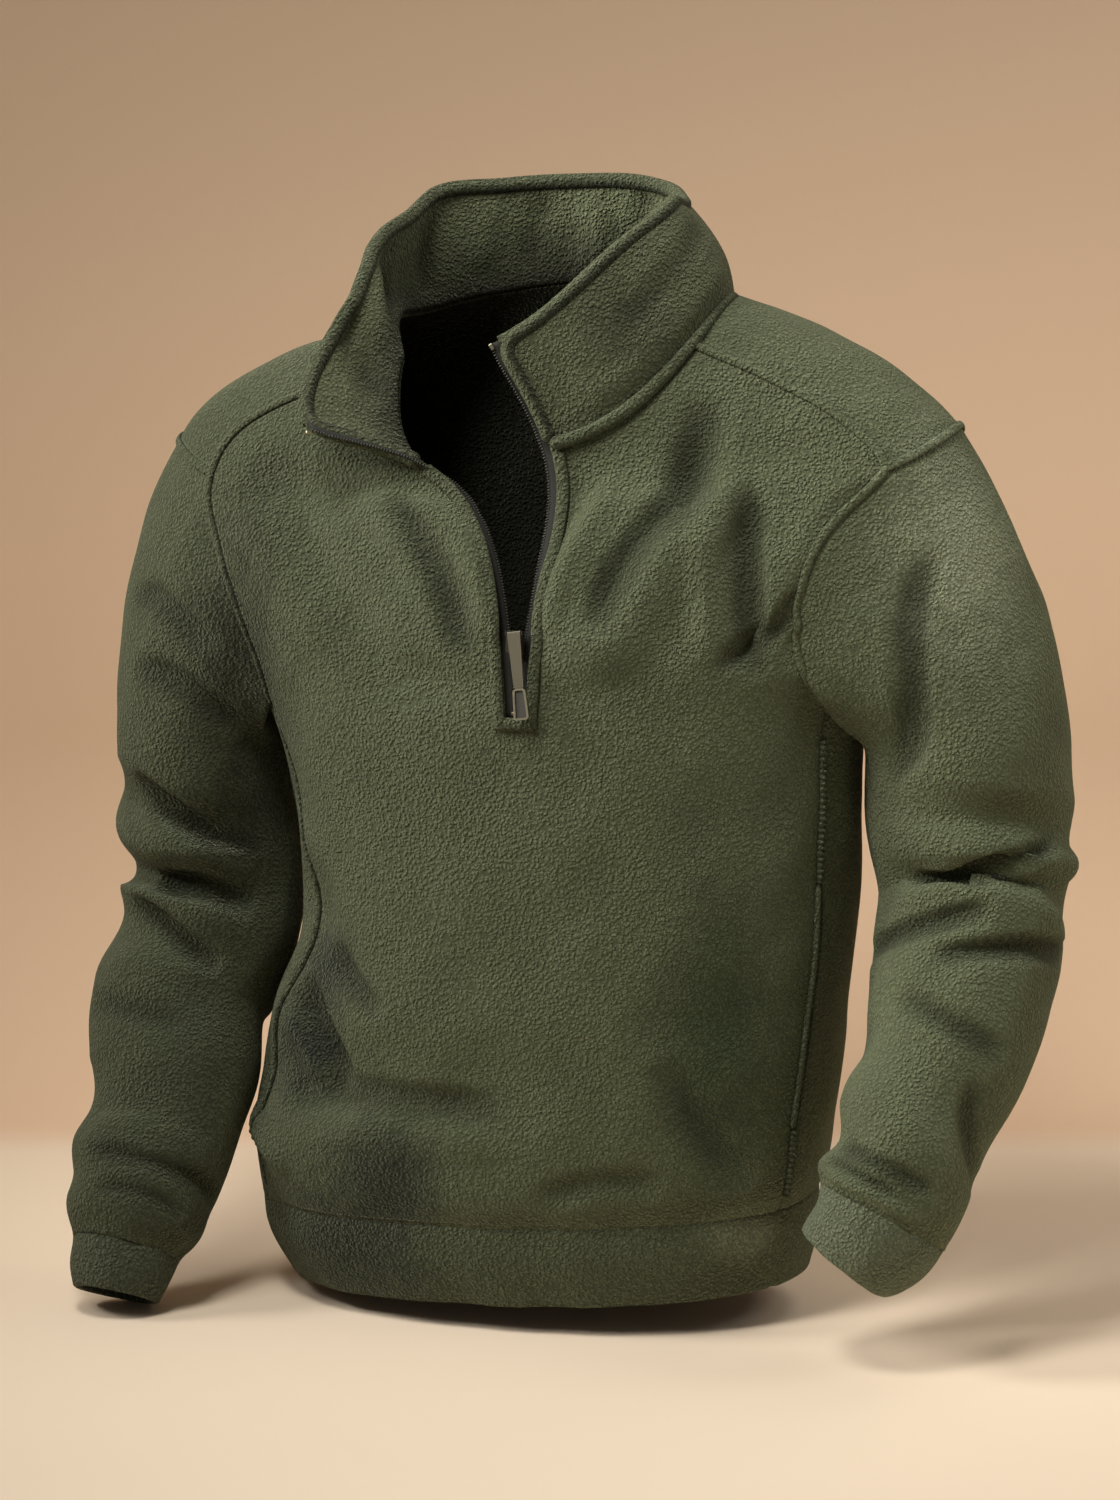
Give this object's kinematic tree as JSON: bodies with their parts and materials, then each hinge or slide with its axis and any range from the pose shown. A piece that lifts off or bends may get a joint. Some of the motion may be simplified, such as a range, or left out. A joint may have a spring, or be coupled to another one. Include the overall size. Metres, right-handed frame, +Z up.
{
  "type": "half-zip fleece pullover",
  "caption": "Hollow half-zip fleece pullover with stand collar laid open on one side, long sleeves, cuffs, hem band and a swinging zip pull.",
  "frame": {"origin": "middle of the neck opening, level with the top of the shoulders, where the wearer carries the garment", "axes": "+Z up the body to the collar, -Y out of the front, +X to the wearer's left"},
  "size_m": [0.7009, 0.303, 0.7854],
  "materials": {
    "fleece": "dark olive pebbled fleece",
    "fleece_trim": "dark olive pebbled fleece, doubled",
    "zip_tape": "black-green woven tape",
    "pull_body": "satin taupe",
    "pull_metal": "pale satin metal",
    "slider_metal": "dark taupe paint"
  },
  "bodies": {
    "garment": {"front_lower": "fleece", "front_upper_left": "fleece", "front_upper_right": "fleece", "back_lower_left": "fleece", "back_lower_right": "fleece", "back_upper_left": "fleece", "back_upper_right": "fleece", "sleeve_left_cap": "fleece", "sleeve_left_top": "fleece", "sleeve_left_upper": "fleece", "sleeve_left_elbow": "fleece", "sleeve_left_lower": "fleece", "sleeve_right_cap": "fleece", "sleeve_right_top": "fleece", "sleeve_right_upper": "fleece", "sleeve_right_elbow": "fleece", "sleeve_right_lower": "fleece", "cuff_left": "fleece_trim", "cuff_right": "fleece_trim", "collar": "fleece_trim", "hem_band": "fleece_trim", "zip_tape_left": "zip_tape", "zip_tape_right": "zip_tape", "zip_frame": "fleece_trim", "zip_slider": "slider_metal", "zip_bottom_stop": "pull_metal", "zip_top_stop_left": "pull_metal", "zip_top_stop_right": "pull_metal"},
    "pull": {"zip_pull": "pull_body", "pull_frame": "pull_metal", "pull_insert": "zip_tape"}
  },
  "joints": [
    {"name": "pull_hinge", "type": "hinge", "parent": "garment", "child": "pull", "pos_m": [0.00463, -0.14497, -0.21189], "axis": [-0.9899, -0.023, -0.1397], "range_deg": [0, 150]}
  ]
}
